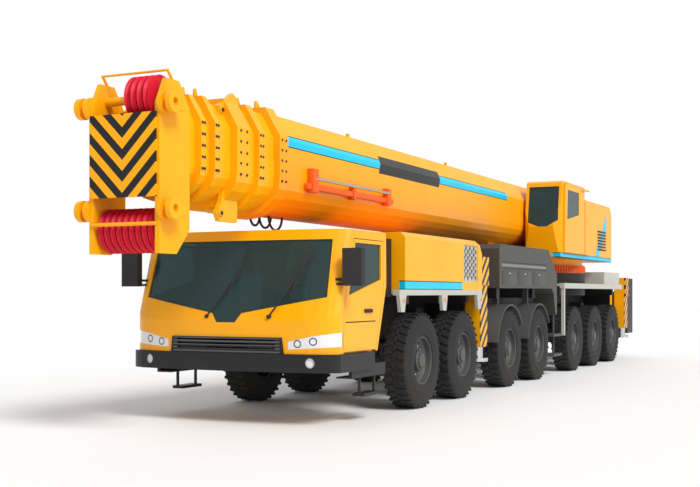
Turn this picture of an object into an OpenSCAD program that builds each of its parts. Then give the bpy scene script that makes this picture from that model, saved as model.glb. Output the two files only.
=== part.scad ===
// All-terrain crane on seven axles: carrier, slewing upper works and telescoping boom.
// Millimetres, +X forward, +Y left, +Z up, origin on the ground below the middle of the overall box.

/* [Axles and wheels] */
// Distance of axle 1 ahead of the origin
axle_1_x = 4850; // [4830:5:4870]
// Spacing of axles 1 and 2
axle_gap_1 = 1700; // [1690:5:1720]
// Spacing of axles 2 and 3
axle_gap_2 = 2400; // [2390:5:2420]
// Spacing of axles 3 and 4
axle_gap_3 = 1800; // [1780:5:1820]
// Spacing of axles 4 and 5
axle_gap_4 = 2750; // [2740:5:2770]
// Spacing of axles 5, 6 and 7
axle_gap_rear = 1800; // [1780:5:1820]
// Outer diameter of a tyre
tyre_d = 1370; // [1350:5:1380]
// Width of a tyre
tyre_w = 390; // [360:5:400]
// Diameter of a rim over its lips
rim_d = 690; // [660:5:720]
// Distance of a wheel's middle from the centre line
wheel_y = 1305; // [1290:5:1310]
// Distance of a king pin from the centre line
kingpin_y = 985; // [970:5:1000]
// Radius of a wheel spindle
spindle_r = 60; // [50:1:70]

/* [Carrier] */
// Half the width of the box frame
frame_half_w = 480; // [450:5:500]
// Height of the frame's underside
frame_bottom_z = 1000; // [980:5:1020]
// Half the width over the decks and panels
deck_half_w = 1490; // [1480:2:1496]
// Height of the front deck's top, which carries the hood
deck_z = 1700; // [1696:1:1720]
// Height of the hood's top and of the side panels' tops
hood_z = 2500; // [2480:5:2520]
// Height of the rear deck's top
rear_deck_z = 1860; // [1840:5:1880]

/* [Carrier cab] */
// Forward reach of the cab's nose
cab_front_x = 7800; // [7780:5:7820]
// Half the width of the cab
cab_half_w = 1480; // [1460:2:1490]
// Height of the cab's underside
cab_bottom_z = 860; // [855:1:870]
// Height of the cab's roof
cab_top_z = 2450; // [2430:2:2460]
// Thickness of the cab's walls
cab_wall = 55; // [45:1:60]
// Backward lean of the windscreen
cab_rake = 17.5; // [14:0.5:19]

/* [Outriggers] */
// Width of an outrigger beam
beam_w = 300; // [260:5:310]
// Height of an outrigger beam
beam_h = 400; // [360:5:420]
// Height of a beam's middle
beam_z = 1440; // [1430:2:1450]
// Width of a jack housing along the carrier
jack_w = 340; // [320:2:350]
// Radius of a jack's ram
jack_r = 105; // [90:1:115]
// Radius of a float pad
pad_r = 190; // [170:2:200]

/* [Upper works] */
// Place of the slewing axis
slew_x = -5400; // [-5420:5:-5380]
// Outer radius of the slewing ring
ring_r = 1250; // [1220:5:1270]
// Height of the slewing ring's top
ring_z = 2280; // [2270:2:2286]
// Height of the upper works' floor
floor_z = 2500; // [2494:1:2510]
// Height of the operator's cab roof
operator_top_z = 4000; // [3960:5:4020]
// Height of the rear hood's top
rear_hood_z = 3740; // [3700:5:3780]

/* [Boom] */
// Half the width of the boom's base section
boom_half_w = 560; // [545:1:565]
// Height of the boom's top
boom_top_z = 3940; // [3920:2:3960]
// Height of the boom's underside
boom_bottom_z = 2660; // [2656:1:2670]
// Step inwards from one boom section to the next
boom_step = 24; // [23:0.5:26]
// Wall of a boom section
boom_wall = 14; // [10:0.5:16]
// Radius of the boom foot's pin
foot_pin_r = 100; // [80:2:110]
// Radius of the luffing cylinder's barrel
luff_r = 168; // [150:1:169]
// Radius of the luffing cylinder's rod
luff_rod_r = 110; // [95:1:120]
// Radius of the pin holes in the head's ears
ear_pin_r = 45; // [35:1:50]
// Radius of a rope sheave
sheave_r = 260; // [240:2:264]

/* [Hidden] */
$fn = 64;

yellow = [0.98, 0.72, 0.02];
dark_grey = [0.25, 0.25, 0.24];
pale_grey = [0.72, 0.74, 0.72];
black = [0.05, 0.05, 0.06];
steel = [0.45, 0.46, 0.47];
rubber = [0.06, 0.06, 0.06];
red = [0.86, 0.12, 0.22];
tinted = [0.12, 0.22, 0.24];
orange = [0.95, 0.45, 0.05];

gap = 0.6;
axle_2_x = axle_1_x - axle_gap_1;
axle_3_x = axle_2_x - axle_gap_2;
axle_4_x = axle_3_x - axle_gap_3;
axle_5_x = axle_4_x - axle_gap_4;
axle_6_x = axle_5_x - axle_gap_rear;
axle_7_x = axle_6_x - axle_gap_rear;
axle_x = [axle_1_x, axle_2_x, axle_3_x, axle_4_x, axle_5_x, axle_6_x, axle_7_x];
wheel_z = tyre_d / 2;
strut_top_z = 1250;
plinth_z = ring_z - 180;
front_left_x = axle_2_x - 1060;
front_right_x = front_left_x - 400;
rear_left_x = axle_7_x - 1630;
rear_right_x = rear_left_x + 400;
hood_front_x = 5530;
hood_rear_x = front_left_x + jack_w / 2 + 40;
tail_x = -9890;
screen_z = 1300;
cab_rear_x = 6150;
cab_line_z = cab_bottom_z + 45;
door_front_x = 7430;
foot_x = -7350;
foot_z = 3450;
luff_foot = [-5750, 2480];
luff_eye = [-2100, 2480];
operator_rear_x = -5000;
operator_front_x = -2940;
operator_in_y = boom_half_w + 60;
operator_out_y = 1380;
collar_2_x = 7950;
collar_3_x = 8450;
collar_4_x = 8880;
collar_5_x = 9130;
base_front_x = 7500;
head_x = 9280;
head_front_x = 9850;
sheave_y = boom_half_w - 5 * boom_step;

module box_of(a, b) {
    translate(a)
        cube([b[0] - a[0], b[1] - a[1], b[2] - a[2]]);
}

module rod_x(p, r, length) {
    translate(p)
        rotate([0, 90, 0])
            cylinder(r = r, h = length);
}

module rod_y(p, r, length) {
    translate(p)
        rotate([-90, 0, 0])
            cylinder(r = r, h = length);
}

module across(y0, y1) {
    translate([0, y1, 0])
        rotate([90, 0, 0])
            linear_extrude(y1 - y0)
                children();
}

module along(x0, x1) {
    translate([x0, 0, 0])
        rotate([90, 0, 90])
            linear_extrude(x1 - x0)
                children();
}

module both() {
    children();
    mirror([0, 1, 0])
        children();
}

module sided(side) {
    if (side > 0)
        children();
    else
        mirror([0, 1, 0])
            children();
}

// Wheels, knuckles and axles

module tyre() {
    r = tyre_d / 2;
    b = rim_d / 2 - 18;
    w = tyre_w / 2;
    half = [[b, 0.8], [b + 35, 0.88], [b + 0.33 * (r - b), 0.98], [b + 0.55 * (r - b), 1],
        [b + 0.78 * (r - b), 0.97], [r - 30, 0.9], [r, 0.8]];
    upper = [for (p = half) [p[0], p[1] * w]];
    lower = [for (i = [len(half) - 1:-1:0]) [half[i][0], -half[i][1] * w]];
    rotate_extrude($fn = 96)
        polygon(concat(upper, lower));
}

module rim() {
    b = rim_d / 2 - 18;
    lip = tyre_w / 2 - 22;
    difference() {
        union() {
            rotate_extrude($fn = 96)
                polygon([[b - 14, -lip - 14], [rim_d / 2, -lip - 14], [rim_d / 2, -lip], [b - 0.4, -lip],
                    [b - 0.4, lip], [rim_d / 2, lip], [rim_d / 2, lip + 14], [b - 14, lip + 14]]);
            rotate_extrude($fn = 96)
                polygon([[100, 60], [b - 5, 10], [b - 5, 36], [100, 86]]);
            translate([0, 0, -60])
                cylinder(r = 150, h = 190);
            cylinder(r = 105, h = 165);
        }
        translate([0, 0, -70])
            cylinder(r = spindle_r + 0.3, h = 140);
    }
}

module wheel(i, side) {
    translate([axle_x[i - 1], side * wheel_y, wheel_z])
        rotate([-90 * side, 0, 0]) {
            color(rubber)
                tyre();
            color(steel)
                rim();
        }
}

module knuckle(i, side) {
    reach = wheel_y - kingpin_y;
    color(black)
        translate([axle_x[i - 1], 0, wheel_z])
            sided(side)
                translate([0, kingpin_y, 0]) {
                    translate([0, 0, -150])
                        cylinder(r = 80, h = 300);
                    translate([0, 0, -240])
                        cylinder(r = 45, h = 480);
                    rod_y([0, 0, 0], spindle_r, reach + 60);
                    rod_y([0, 125, 0], 230, reach - 60 - 10 - 125);
                    box_of([-330, -45, -150], [-30, 45, -100]);
                }
}

module steered_axle() {
    difference() {
        union() {
            rod_y([0, -kingpin_y + 140, 0], 95, 2 * kingpin_y - 280);
            both() {
                box_of([-75, kingpin_y - 160, -240], [75, kingpin_y - 100, 240]);
                for (z = [-240, 150 + gap]) {
                    box_of([-75, kingpin_y - 160, z], [75, kingpin_y, z + 90 - gap]);
                    translate([0, kingpin_y, z])
                        cylinder(r = 75, h = 90 - gap);
                }
            }
        }
        both()
            translate([0, kingpin_y, -300])
                cylinder(r = 45.3, h = 600);
    }
}

module fixed_axle() {
    rod_y([0, -wheel_y + 75, 0], 95, 2 * wheel_y - 150);
    rod_y([0, -wheel_y - 60, 0], spindle_r, 2 * wheel_y + 120);
    both()
        rod_y([0, wheel_y - 195, 0], 230, 125);
}

module axle_beams() {
    color(black)
        for (i = [0:6])
            translate([axle_x[i], 0, wheel_z]) {
                if (i < 2)
                    steered_axle();
                else
                    fixed_axle();
                rod_y([0, -170, 0], 225, 340);
                rod_x([-340, 0, 0], 110, 680);
                both()
                    translate([0, 640, 40])
                        cylinder(r = 60, h = strut_top_z - wheel_z - 40);
            }
}

// Carrier frame

module beam_boxes() {
    for (x = [front_left_x, rear_right_x])
        box_of([x - 600, -1170, beam_z - beam_h / 2 - 50], [x + 200, 1170, beam_z + beam_h / 2 + 50]);
}

module beam_tunnels() {
    for (x = [front_left_x, front_right_x, rear_left_x, rear_right_x])
        box_of([x - beam_w / 2 - gap, -1200, beam_z - beam_h / 2 - gap],
            [x + beam_w / 2 + gap, 1200, beam_z + beam_h / 2 + gap]);
}

module chassis_frame() {
    color(black)
        difference() {
            union() {
                across(-frame_half_w, frame_half_w)
                    polygon([[6150, 660], [6150, 1040], [6000, 1600], [1200, 1600], [-2600,
                        plinth_z - 100], [-8300, plinth_z - 100], [-8500, 1690],
                        [rear_left_x - 190, 1690], [rear_left_x - 190, 1190], [-8300, frame_bottom_z],
                        [5700, frame_bottom_z], [6100, 660]]);
                box_of([6150 + gap, -frame_half_w, 660], [7450, frame_half_w, cab_bottom_z - gap]);
                translate([slew_x, 0, 1600])
                    cylinder(r = ring_r, h = plinth_z - 1600, $fn = 96);
                beam_boxes();
                for (x = axle_x)
                    both()
                        box_of([x - 140, frame_half_w - 10, strut_top_z], [x + 140, 730,
                            strut_top_z + 170]);
                for (x = [900, -1300])
                    both()
                        box_of([x - 90, frame_half_w - 10, 1560], [x + 90, 1300, 1740]);
                for (x = [2700, 3950, 5200])
                    both()
                        box_of([x - 60, frame_half_w - 10, 1500], [x + 60, 1380, deck_z - 60]);
                for (x = [-2950, -7800])
                    both()
                        box_of([x - 60, frame_half_w - 10, 1600], [x + 60, 1380, rear_deck_z - 60]);
                box_of([hood_front_x + 40, -1300, 1600 + gap], [cab_rear_x - 190, 1300, 2400]);
                box_of([tail_x, -1440, 620], [rear_left_x - 220, 1440, 1080]);
                box_of([tail_x + 60, -900, 1000], [rear_left_x - 150, 900, 1690]);
                both()
                    box_of([tail_x, 1100, 900], [rear_left_x - 220, 1440, 2030]);
            }
            beam_tunnels();
        }
}

module engine_block() {
    color(steel)
        box_of([3000, -450, 1600], [4700, 450, 2330]);
}

// Carrier cab

function nose(y, half, front) = front - 110 * pow(y / half, 2) - 130 * pow(y / half, 12);

// Plan view of the cab at a wall depth: the upright nose, or the wider raked one when it leans
module cab_plan(inset, lean, flare) {
    half = cab_half_w - inset + flare / 10;
    front = cab_front_x - inset;
    upright = [-1, -0.97, -0.93, -0.87, -0.78, -0.6, -0.4, -0.2, 0, 0.2, 0.4, 0.6, 0.78, 0.87, 0.93,
        0.97, 1];
    raked = [-1, -0.95, -0.9, -0.82, -0.69, -0.5, -0.3, -0.1, 0.1, 0.3, 0.5, 0.69, 0.82, 0.9, 0.95, 1];
    steps = lean < 1 ? raked : upright;
    curve = [for (s = steps) [(nose(s * half, half, front) - cab_front_x) * lean, s * half]];
    polygon(concat(curve, [[-3000, half + flare], [-3000, -half - flare]]));
}

// Place of the cab's slanted back below the waist
function cab_back(z) = cab_rear_x + 300 * (1750 - z) / (1750 - cab_bottom_z);

module cab_block(inset, low) {
    intersection() {
        across(-cab_half_w - 60, cab_half_w + 60)
            polygon([[cab_back(low) + inset, low], [8000, low],
                [8000, cab_top_z - inset], [cab_rear_x + 10 + inset, cab_top_z - inset],
                [cab_rear_x + inset, 1750]]);
        translate([cab_front_x, 0, 400])
            linear_extrude(2400)
                cab_plan(inset, 1, 0);
        translate([cab_front_x, 0, screen_z])
            rotate([0, -cab_rake, 0])
                translate([0, 0, -1000])
                    linear_extrude(3000)
                        cab_plan(inset, cos(cab_rake), 300);
    }
}

module cab_walls() {
    difference() {
        cab_block(0, cab_line_z);
        cab_block(cab_wall, 500);
    }
}

// Side view of a door, shrunk all round
module door_side(shrink) {
    polygon([[cab_rear_x + 330 + shrink, cab_line_z + 15 + shrink], [door_front_x - shrink,
        cab_line_z + 15 + shrink],
        [door_front_x - shrink, screen_z + 150], [door_front_x - 285 - shrink, cab_top_z - 115 - shrink],
        [cab_rear_x + 95 + shrink, cab_top_z - 115 - shrink], [cab_rear_x + 85 + shrink, 1750]]);
}

module door_window(shrink) {
    polygon([[cab_rear_x + 170 + shrink, 1830 + shrink], [7290 - shrink, 1620 + shrink],
        [7100 - shrink, cab_top_z - 165 - shrink], [cab_rear_x + 170 + shrink, cab_top_z - 165 - shrink]]);
}

module windscreen(shrink) {
    polygon([[-cab_half_w + 150 + shrink, 1600 + shrink], [-cab_half_w + 180 + shrink,
        cab_top_z - 130 - shrink],
        [cab_half_w - 180 - shrink, cab_top_z - 130 - shrink], [cab_half_w - 150 - shrink, 1600 + shrink],
        [220, 1400 + shrink], [140, screen_z - 15 + shrink], [-140, screen_z - 15 + shrink], [-220,
            1400 + shrink]]);
}

module door_side_prism(side, shrink) {
    sided(side)
        across(cab_half_w - 280, cab_half_w + 120)
            door_side(shrink);
}

module cab_shell() {
    color(yellow) {
        intersection() {
            translate([cab_front_x, 0, cab_bottom_z])
                linear_extrude(85)
                    cab_plan(cab_wall + gap, 1, 0);
            across(-cab_half_w - 220, cab_half_w + 220)
                polygon([[cab_back(700) + cab_wall + gap, 700], [9000, 700], [9000, 1300],
                    [cab_back(1300) + cab_wall + gap, 1300]]);
        }
        difference() {
            cab_walls();
            box_of([5000, -cab_half_w - 220, 0], [9000, cab_half_w + 220, cab_top_z - 110]);
        }
        intersection() {
            cab_walls();
            across(-cab_half_w - 120, cab_half_w + 120)
                polygon([[5000, 600], [cab_rear_x + 420, 600], [cab_rear_x + 80, 1750],
                    [cab_rear_x + 90, cab_top_z - 110 - gap], [5000, cab_top_z - 110 - gap]]);
        }
        difference() {
            intersection() {
                cab_walls();
                across(-cab_half_w - 120, cab_half_w + 120)
                    polygon([[door_front_x + 5, 600], [9000, 600], [9000, cab_top_z - 110 - gap],
                        [door_front_x - 280, cab_top_z - 110 - gap], [door_front_x + 5, screen_z + 150]]);
            }
            along(6000, 9000)
                windscreen(0);
            along(7450, 9000)
                front_openings(0);
        }
    }
}

// Front view of the places of the grille and the headlamps
module front_openings(shrink) {
    polygon([[-840 + shrink, 800], [840 - shrink, 800], [800 - shrink, 1105 - shrink], [-800 + shrink,
        1105 - shrink]]);
    for (s = [-1, 1])
        polygon([[s * (880 + shrink), 960 + shrink], [s * (cab_half_w + 80), 1000 + shrink],
            [s * (cab_half_w + 80), 1180 - shrink],
            [s * (1200), 1130 - shrink], [s * (880 + shrink), 1060 - shrink]]);
}

module cab_glass() {
    color(tinted)
        intersection() {
            difference() {
                cab_block(18, 1000);
                cab_block(30, 900);
            }
            along(6800, 9000)
                windscreen(gap);
        }
}

module cab_interior() {
    z = cab_line_z + 40;
    foot = 2 * (35 * sin(60) + gap);
    color(dark_grey) {
        box_of([7080, -1300, z], [7330, 1300, 1430]);
        for (y = [-800, 800]) {
            box_of([6560, y - 250, z], [6980, y + 250, 1250]);
            across(y - 250, y + 250)
                polygon([[6560, 1200], [6700, 1200], [6620, 2080], [6500, 2080]]);
        }
        translate([7330, 800, 1430])
            rotate([0, -60, 0]) {
                translate([0, 0, foot])
                    cylinder(r = 35, h = 300 - foot);
                translate([0, 0, 300])
                    rotate_extrude()
                        translate([215, 0])
                            circle(r = 18);
                translate([-215, -20, 285])
                    cube([430, 40, 20]);
            }
    }
}

module front_bumper() {
    color(black) {
        difference() {
            union() {
                intersection() {
                    translate([cab_front_x, 0, 680])
                        linear_extrude(cab_line_z - 5 - 680)
                            cab_plan(-40, 1, 0);
                    box_of([6600, -cab_half_w - 220, 600], [8200, cab_half_w + 220, 1000]);
                }
                intersection() {
                    translate([cab_front_x, 0, 680])
                        linear_extrude(425)
                            cab_plan(-25, 1, 0);
                    along(7450, 9000)
                        polygon([[-840 + gap, 700], [840 - gap, 700], [800 - gap, 1105 - gap],
                            [-800 + gap, 1105 - gap]]);
                }
                both() {
                    box_of([6160, 1250, 580], [7180, 1470, 740]);
                    box_of([6350, 1300, 330], [6820, 1470, 370]);
                    for (x = [6350, 6790])
                        box_of([x, 1380, 350], [x + 30, 1410, 600]);
                }
            }
            translate([cab_front_x, 0, 600])
                linear_extrude(1000)
                    cab_plan(cab_wall, 1, 0);
            both()
                rod_x([7000, 1180, 800], 62, 1000);
            for (z = [960, 1010, 1060])
                box_of([7740, -720, z], [8000, 720, z + 22]);
        }
    }
}

module lamps() {
    color(pale_grey) {
        intersection() {
            difference() {
                cab_block(4, 700);
                cab_block(cab_wall, 600);
            }
            along(door_front_x + 40, 9000)
                for (s = [-1, 1])
                    polygon([[s * (880 + gap), 960 + gap], [s * (cab_half_w + 80), 1000 + gap],
                        [s * (cab_half_w + 80), 1180 - gap],
                        [s * 1200, 1130 - gap], [s * (880 + gap), 1060 - gap]]);
        }
        both()
            intersection() {
                translate([cab_front_x, 0, 680])
                    linear_extrude(300)
                        difference() {
                            cab_plan(-20, 1, 0);
                            cab_plan(40, 1, 0);
                        }
                rod_x([7000, 1180, 800], 62 - gap, 1000);
            }
    }
    color(orange)
        both() {
            box_of([tail_x - 20, 1180, 1500], [tail_x, 1400, 1750]);
            box_of([tail_x - 20, 1180, 1250], [tail_x, 1400, 1440]);
            for (x = [5560, 4000, 2340])
                rod_y([x, deck_half_w, 1550], 30, 8);
        }
}

module mirrors() {
    color(black)
        both() {
            box_of([7455, cab_half_w + 40, 1740], [7560, cab_half_w + 300, 2200]);
            for (z = [1745, 1805])
                difference() {
                    box_of([door_front_x + 12, cab_half_w - 80, z], [door_front_x + 70,
                        cab_half_w + 120, z + 30]);
                    cab_block(-gap, 500);
                }
        }
}

module cab_door(side) {
    color(yellow)
        difference() {
            intersection() {
                cab_walls();
                door_side_prism(side, gap * 8);
            }
            sided(side)
                across(cab_half_w - 280, cab_half_w + 120)
                    door_window(0);
        }
}

module cab_door_glass(side) {
    color(tinted)
        sided(side)
            intersection() {
                box_of([5000, cab_half_w - 34, 1000], [9000, cab_half_w - 22, 3000]);
                across(cab_half_w - 280, cab_half_w + 120)
                    door_window(gap);
            }
}

// Hood, decks and panels

module hood_block(inset) {
    intersection() {
        across(-deck_half_w + inset, deck_half_w - inset)
            polygon([[hood_front_x - inset, deck_z - inset], [hood_front_x - inset, hood_z - inset],
                [hood_rear_x + 170 + inset, hood_z - inset], [hood_rear_x + inset, hood_z - 220 - inset],
                [hood_rear_x + inset, deck_z - inset]]);
        along(hood_rear_x - 10, hood_front_x + 10)
            polygon([[-deck_half_w + inset, deck_z - inset], [deck_half_w - inset, deck_z - inset],
                [deck_half_w - inset, hood_z - 70 - inset], [deck_half_w - 70 - inset, hood_z - inset],
                [-deck_half_w + 70 + inset, hood_z - inset], [-deck_half_w + inset, hood_z - 70 - inset]]);
    }
}

module grille_side(shrink) {
    x = hood_rear_x + 210;
    polygon([[x + shrink, 1830 + shrink], [x + 660 - shrink, 1830 + shrink],
        [x + 660 - shrink, hood_z - 90 - shrink], [x + shrink, hood_z - 90 - shrink]]);
}

module grille_mesh() {
    x = hood_rear_x + 210;
    difference() {
        across(deck_half_w - 36, deck_half_w - 16)
            grille_side(gap);
        for (i = [0:6])
            for (j = [0:4])
                translate([x + 62 + i * 90, deck_half_w - 60, 1890 + j * 104 + (i % 2) * 52])
                    rotate([-90, 0, 0])
                        cylinder(r = 48, h = 80, $fn = 6);
    }
}

module engine_hood() {
    color(yellow)
        difference() {
            hood_block(0);
            hood_block(40);
            across(-2000, 2000)
                grille_side(0);
        }
    color(pale_grey)
        both()
            grille_mesh();
}

module wheel_arc(x) {
    intersection() {
        difference() {
            rod_y([x, wheel_y - tyre_w / 2, wheel_z], wheel_z + 85, tyre_w);
            rod_y([x, wheel_y - tyre_w / 2 - 10, wheel_z], wheel_z + 60, tyre_w + 20);
        }
        across(1000, 1600)
            polygon([[x, wheel_z], [x + 1200, wheel_z + 200], [x + 1200, wheel_z + 1200], [x - 700,
                wheel_z + 1200],
                [x - 1000, wheel_z + 600]]);
    }
    box_of([x - 40, wheel_y - 150, wheel_z * 2 + 70], [x + 40, wheel_y - 50, 1740]);
}

module decks_and_fenders() {
    color(pale_grey)
        both() {
            box_of([hood_rear_x, deck_half_w - 100, deck_z - 80], [5730, deck_half_w, deck_z]);
            box_of([hood_rear_x, frame_half_w + 20, deck_z - 60], [hood_front_x + 20, deck_half_w - 90,
                deck_z]);
            for (x = [5480, 3880, hood_rear_x])
                across(deck_half_w - 50, deck_half_w)
                    polygon([[x, deck_z - 70], [x + 250, deck_z - 70], [x + 190, 1390], [x + 60, 1390]]);
            for (x = [axle_3_x, axle_4_x])
                wheel_arc(x);
            difference() {
                union() {
                    box_of([-8400, deck_half_w - 100, rear_deck_z - 110], [-2870, deck_half_w,
                        rear_deck_z]);
                    box_of([-8400, frame_half_w + 20, rear_deck_z - 60], [-2870, deck_half_w - 90,
                        rear_deck_z - 10]);
                    box_of([-8270, 750, rear_deck_z - 20], [-6650, deck_half_w - 50, 2150]);
                    box_of([-2960, deck_half_w - 70, 780], [-2880, deck_half_w - 10, rear_deck_z - 60]);
                }
                translate([slew_x, 0, 0])
                    cylinder(r = ring_r + 20, h = 3000, $fn = 96);
                box_of([-9000, 0, 0], [-2000, plinth_half(), 2000]);
            }
            ladder();
        }
}

function plinth_half() = frame_half_w + 10;

module ladder() {
    for (z = [380, 780])
        box_of([-2710, 1250, z], [-2100, deck_half_w - 10, z + 50]);
    for (x = [-2700, -2150])
        translate([x, 1300, 380])
            cylinder(r = 22, h = x < -2500 ? 1100 : 830);
    rod_x([-2700, 1300, 1460], 22, 410 - gap);
}

module side_panels() {
    color(dark_grey)
        both()
            difference() {
                across(deck_half_w - 440, deck_half_w)
                    polygon([[1390, 1740], [1390, hood_z - 80], [1310, hood_z], [-1670, hood_z],
                        [-2290, 2020],
                        [-2290, 1250], [-2180, 1210], [-2050, 1640], [-1900, 1740]]);
                for (z = [2080, 2180])
                    box_of([-1500, deck_half_w - 12, z], [1250, deck_half_w + 10, z + 18]);
            }
}

module slew_ring() {
    color(orange)
        translate([slew_x, 0, plinth_z])
            difference() {
                cylinder(r = ring_r - 10, h = ring_z - plinth_z, $fn = 96);
                translate([0, 0, -10])
                    cylinder(r = ring_r - 250, h = 400, $fn = 96);
            }
}

// Outriggers

module outrigger_beam(x, side, top) {
    color(yellow)
        sided(side)
            difference() {
                union() {
                    box_of([x - beam_w / 2, -1150, beam_z - beam_h / 2], [x + beam_w / 2, 1250,
                        beam_z + beam_h / 2]);
                    box_of([x - jack_w / 2, 1190, 760], [x + jack_w / 2, 1450, top]);
                    box_of([x - jack_w / 2, 1440, top - 470], [x + jack_w / 2, 1480, top]);
                }
                translate([x, 1320, 700])
                    cylinder(r = jack_r + 0.3, h = top - 800);
            }
}

module outrigger_jack(x, side) {
    color(steel)
        sided(side)
            translate([x, 1320, 520]) {
                cylinder(r = pad_r, h = 60);
                cylinder(r = jack_r, h = 1200);
            }
}

// Upper works

module turntable() {
    color(dark_grey)
        difference() {
            union() {
                translate([slew_x, 0, ring_z + gap])
                    cylinder(r = ring_r - 60, h = floor_z - ring_z - 40, $fn = 96);
                box_of([-7700, -1370, floor_z - 100], [-3000, 1370, floor_z]);
                both()
                    across(operator_in_y - 25, operator_in_y + 20)
                        polygon([[-7650, floor_z - 50], [-7560, foot_z + 150], [-7420, foot_z + 250],
                            [-7280, foot_z + 250], [-7050, foot_z], [-5600, 2800], [-5200, floor_z - 50]]);
                both()
                    rod_y([foot_x, operator_in_y - 30, foot_z], 190, 70);
                rod_y([foot_x, -operator_in_y - 20, foot_z], foot_pin_r, 2 * operator_in_y + 40);
            }
            box_of([-6150, -260, ring_z + 25], [-2000, 260, floor_z + 400]);
        }
    color(dark_grey) {
        both()
            across(luff_r + 8, 262)
                polygon([[-6000, ring_z + 20], [-5500, ring_z + 20], [-5600, luff_foot[1] + 120],
                    [-5900, luff_foot[1] + 120]]);
        rod_y([luff_foot[0], -240, luff_foot[1]], 70, 480);
    }
}

module rear_hood() {
    color(yellow)
        difference() {
            across(-1365, 1365)
                polygon(concat([[-5130, floor_z + gap], [-5130, rear_hood_z]],
                    [for (a = [90:15:180]) [-7450 + 300 * cos(a), rear_hood_z - 300 + 300 * sin(a)]],
                    [[-7750, floor_z + gap]]));
            box_of([-7700, -operator_in_y - 45, 2000], [-4000, operator_in_y + 45, 5000]);
        }
}

// Height at a share of the operator's cab
function operator_z(share) = floor_z + share * (operator_top_z - floor_z);

module operator_block(inset) {
    x0 = operator_rear_x + inset;
    x1 = operator_front_x - inset;
    intersection() {
        across(operator_in_y + inset, operator_out_y - inset)
            polygon([[x0, floor_z + gap + inset], [x1 - 60, floor_z + gap + inset], [x1, operator_z(0.367)],
                [x1 - 160, operator_top_z - 40 - inset], [x1 - 230, operator_top_z - inset],
                [x0, operator_top_z - inset]]);
        translate([0, 0, 2000])
            linear_extrude(3000)
                polygon([[x0, operator_in_y + inset], [x1 - 60, operator_in_y + inset], [x1,
                    operator_in_y + 90 + inset],
                    [x1, operator_out_y - 160 - inset], [x1 - 90, operator_out_y - inset], [x0,
                        operator_out_y - inset]]);
    }
}

module operator_walls() {
    difference() {
        operator_block(0);
        operator_block(45);
    }
}

// Front view of the operator's windscreen
module operator_screen(shrink) {
    y0 = operator_in_y + 60;
    y1 = operator_out_y - 60;
    m = (y0 + y1) / 2;
    polygon([[y0 + shrink, operator_z(0.42) + shrink], [m - 90, operator_z(0.36) + shrink], [m + 90,
        operator_z(0.36) + shrink], [y1 - shrink, operator_z(0.447) + shrink],
        [y1 - shrink, operator_top_z - 120 - shrink], [y0 + shrink, operator_top_z - 120 - shrink]]);
}

// Side view of the operator's door opening and of the window in the far wall
module operator_opening(shrink) {
    polygon([[-4500 + shrink, floor_z + 80 + shrink], [-3200 - shrink, floor_z + 80 + shrink],
        [-3260 - shrink, operator_top_z - 110 - shrink], [-4500 + shrink, operator_top_z - 110 - shrink]]);
}

module operator_side_window(shrink) {
    polygon([[-4350 + shrink, operator_z(0.567) + shrink], [-3350 - shrink, operator_z(0.467) + shrink],
        [-3400 - shrink, operator_top_z - 170 - shrink], [-4350 + shrink, operator_top_z - 170 - shrink]]);
}

module operator_cab() {
    z = operator_top_z - 90;
    color(yellow) {
        intersection() {
            operator_block(0);
            box_of([-6000, 0, 2000], [0, 2000, floor_z + 50]);
        }
        box_of([-5300, operator_out_y - 5, floor_z + 8], [-3160, operator_out_y + 44, floor_z + 40 - gap]);
        intersection() {
            operator_block(0);
            box_of([-6000, 0, z], [0, 2000, 5000]);
        }
        box_of([-5300, operator_out_y - 5, operator_top_z - 70 + gap], [-3280, operator_out_y + 44,
            operator_top_z - 40]);
        difference() {
            intersection() {
                operator_walls();
                box_of([-6000, 0, floor_z + 50 + gap], [0, 2000, z - gap]);
            }
            along(operator_front_x - 200, 0)
                operator_screen(0);
            across(operator_out_y - 80, 2000)
                operator_opening(0);
            across(0, operator_in_y + 80)
                operator_side_window(0);
        }
    }
}

module operator_glass() {
    color(tinted) {
        intersection() {
            difference() {
                operator_block(15);
                operator_block(27);
            }
            along(operator_front_x - 190, 0)
                operator_screen(gap);
        }
        across(operator_in_y + 15, operator_in_y + 27)
            operator_side_window(gap);
    }
}

module operator_door() {
    color(yellow)
        difference() {
            across(operator_out_y + 5, operator_out_y + 40)
                operator_opening(-40);
            across(0, 2000)
                operator_side_window(0);
        }
}

module operator_door_glass() {
    color(tinted)
        across(operator_out_y + 14, operator_out_y + 26)
            operator_side_window(gap);
}

module operator_seat() {
    y = (operator_in_y + operator_out_y) / 2;
    z = floor_z + 50 + gap;
    color(dark_grey) {
        box_of([-4450, y - 240, z], [-3950, y + 240, z + 480]);
        across(y - 240, y + 240)
            polygon([[-4450, z + 400], [-4310, z + 400], [-4400, z + 1150], [-4520, z + 1150]]);
    }
}

// Boom

// Cross-section of the boom, stepped inwards
module boom_outline(d) {
    w = boom_half_w;
    t = boom_top_z;
    c = boom_bottom_z + 420;
    right = concat([[0.66 * w - 0.578 * d, t - d], [w - d, t - 330 - 0.268 * d]],
        [for (a = [0:15:90]) [(w - d) * cos(a), c - (420 - d) * sin(a)]]);
    left = [for (i = [len(right) - 2:-1:0]) [-right[i][0], right[i][1]]];
    polygon(concat(right, left));
}

module boom_tube(x0, x1, d0, d1) {
    along(x0, x1)
        difference() {
            boom_outline(d0);
            boom_outline(d1);
        }
}

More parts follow.
